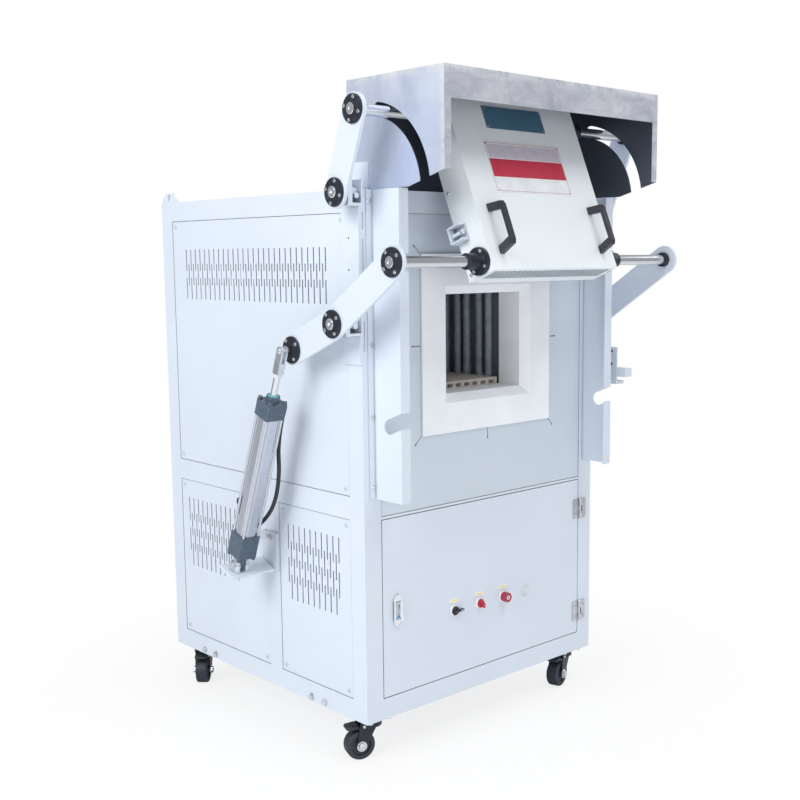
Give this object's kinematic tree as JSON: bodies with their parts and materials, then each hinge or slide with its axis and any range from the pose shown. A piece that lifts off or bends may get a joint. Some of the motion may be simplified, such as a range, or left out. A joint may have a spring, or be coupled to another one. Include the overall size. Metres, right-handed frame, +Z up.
{
  "type": "assay furnace",
  "caption": "Box furnace on casters with a swing-up insulated door under a steel hood, two pneumatic cylinders, heated chamber and switchgear cabinet.",
  "frame": {"origin": "on the floor under the middle of the whole outline, the door raised", "axes": "+X to the right for someone facing the door, +Y from the door to the back, +Z up"},
  "size_m": [1.06, 1.0807, 1.569],
  "materials": {
    "white_steel": "powder coated, fine orange peel",
    "grey_steel": "powder coated",
    "stainless": "satin",
    "bright_steel": "ground bright",
    "black_steel": "blackened",
    "fibre_board": "chalky ceramic fibre",
    "hearth_ceramic": "fired ceramic",
    "element": "dark oxidised rod",
    "cylinder_cap": "dark anodised",
    "cylinder_tube": "clear anodised",
    "black_plastic": "matt",
    "plate_face": "printed sheet",
    "hose": "smooth",
    "wheel_tread": "moulded",
    "red_plastic": "gloss",
    "switch_parts": "matt"
  },
  "bodies": {
    "base": {"cabinet_shell": "white_steel", "roof_panel": "white_steel", "rear_panels": "white_steel", "front_plate": "white_steel", "left_upper_panel": "white_steel", "right_upper_panel": "white_steel", "left_lower_panels": "white_steel", "right_lower_panels": "white_steel", "mouth_frame": "fibre_board", "chamber_lining": "fibre_board", "heating_elements": "element", "setter_plate": "hearth_ceramic", "thermocouple": "bright_steel", "hood": "stainless", "guide_channels": "white_steel", "pivot_brackets": "white_steel", "cylinder_brackets": "white_steel", "panel_screws": "bright_steel", "power_unit": "switch_parts", "air_valves": "switch_parts", "limit_switch": "white_steel", "air_hoses": "hose", "hose_glands": "grey_steel", "hinge_frame_leaves": "bright_steel", "caster_plates": "grey_steel"},
    "lower_arms": {"lower_arm_left": "white_steel", "lower_arm_right": "white_steel", "lower_arm_bearings": "black_steel"},
    "door": {"door_shell": "white_steel", "door_insulation": "fibre_board", "door_handles": "black_steel", "door_hubs": "black_steel", "door_shafts": "bright_steel", "door_nameplates": "plate_face", "door_stop_brackets": "white_steel"},
    "upper_arms": {"upper_arm_left": "white_steel", "upper_arm_right": "white_steel", "upper_arm_bearings": "black_steel", "upper_shafts": "bright_steel"},
    "cylinders": {"cylinder_tubes": "cylinder_tube", "cylinder_caps": "cylinder_cap"},
    "rods": {"piston_rods": "bright_steel", "rod_clevises": "bright_steel"},
    "cabinet_door": {"cabinet_door": "white_steel", "hinge_door_leaves": "bright_steel", "door_lock": "black_plastic", "control_devices": "black_plastic"},
    "lock_handle": {"lock_handle": "black_plastic"},
    "selector": {"selector_lever": "black_plastic"},
    "knob": {"heat_knob": "red_plastic"},
    "caster_front_left": {"caster_fork_front_left": "black_steel"},
    "wheel_front_left": {"caster_wheel_front_left": "wheel_tread"},
    "caster_front_right": {"caster_fork_front_right": "black_steel"},
    "wheel_front_right": {"caster_wheel_front_right": "wheel_tread"},
    "caster_rear_left": {"caster_fork_rear_left": "black_steel"},
    "wheel_rear_left": {"caster_wheel_rear_left": "wheel_tread"},
    "caster_rear_right": {"caster_fork_rear_right": "black_steel"},
    "wheel_rear_right": {"caster_wheel_rear_right": "wheel_tread"}
  },
  "joints": [
    {"name": "lower_arm_swing", "type": "hinge", "parent": "base", "child": "lower_arms", "pos_m": [0, -0.27425, 1.036], "axis": [1, 0, 0], "range_deg": [0, 107.33]},
    {"name": "door_turn", "type": "hinge", "parent": "lower_arms", "child": "door", "pos_m": [0, -0.47432, 1.16892], "axis": [1, 0, 0], "range_deg": [-85.34, 0]},
    {"name": "upper_arm_swing", "type": "hinge", "parent": "base", "child": "upper_arms", "pos_m": [0, -0.27925, 1.3185], "axis": [1, 0, 0], "range_deg": [0, 138.33]},
    {"name": "cylinder_swing", "type": "hinge", "parent": "base", "child": "cylinders", "pos_m": [0, 0.07435, 0.4439], "axis": [1, 0, 0], "range_deg": [0, 3.16]},
    {"name": "rod_slide", "type": "slide", "parent": "cylinders", "child": "rods", "axis": [0, -0.3521, 0.936], "range_m": [0, 0.25993]},
    {"name": "cabinet_door_hinge", "type": "hinge", "parent": "base", "child": "cabinet_door", "pos_m": [0.353, -0.29425, 0.361], "axis": [0, 0, 1], "range_deg": [0, 110]},
    {"name": "lock_handle_hinge", "type": "hinge", "parent": "cabinet_door", "child": "lock_handle", "pos_m": [-0.305, -0.29285, 0.3799], "axis": [-1, 0, 0], "range_deg": [0, 35]},
    {"name": "selector_turn", "type": "hinge", "parent": "cabinet_door", "child": "selector", "pos_m": [-0.119, -0.28925, 0.32], "axis": [0, -1, 0], "range_deg": [0, 90]},
    {"name": "knob_turn", "type": "hinge", "parent": "cabinet_door", "child": "knob", "pos_m": [-0.0305, -0.28925, 0.32], "axis": [0, -1, 0], "range_deg": [-45, 45]},
    {"name": "caster_swivel_front_left", "type": "hinge", "parent": "base", "child": "caster_front_left", "pos_m": [-0.348, -0.23425, 0.106], "axis": [0, 0, 1], "continuous": true},
    {"name": "wheel_spin_front_left", "type": "hinge", "parent": "caster_front_left", "child": "wheel_front_left", "pos_m": [-0.37331, -0.22484, 0.0355], "axis": [-0.3486, -0.9373, 0], "continuous": true},
    {"name": "caster_swivel_front_right", "type": "hinge", "parent": "base", "child": "caster_front_right", "pos_m": [0.348, -0.23425, 0.106], "axis": [0, 0, 1], "continuous": true},
    {"name": "wheel_spin_front_right", "type": "hinge", "parent": "caster_front_right", "child": "wheel_front_right", "pos_m": [0.32192, -0.24124, 0.0355], "axis": [0.2588, -0.9659, 0], "continuous": true},
    {"name": "caster_swivel_rear_left", "type": "hinge", "parent": "base", "child": "caster_rear_left", "pos_m": [-0.348, 0.48875, 0.106], "axis": [0, 0, 1], "continuous": true},
    {"name": "wheel_spin_rear_left", "type": "hinge", "parent": "caster_rear_left", "child": "wheel_rear_left", "pos_m": [-0.36676, 0.46933, 0.0355], "axis": [0.7193, -0.6947, 0], "continuous": true},
    {"name": "caster_swivel_rear_right", "type": "hinge", "parent": "base", "child": "caster_rear_right", "pos_m": [0.348, 0.48875, 0.106], "axis": [0, 0, 1], "continuous": true},
    {"name": "wheel_spin_rear_right", "type": "hinge", "parent": "caster_rear_right", "child": "wheel_rear_right", "pos_m": [0.32353, 0.47734, 0.0355], "axis": [0.4226, -0.9063, 0], "continuous": true}
  ],
  "couplings": [
    {"joint": "door_turn", "follows": "lower_arm_swing", "ratio": -0.79504},
    {"joint": "upper_arm_swing", "follows": "lower_arm_swing", "ratio": 1.2887},
    {"joint": "cylinder_swing", "follows": "lower_arm_swing", "ratio": 0.029414},
    {"joint": "rod_slide", "follows": "lower_arm_swing", "m_per_rad": 0.13875}
  ]
}
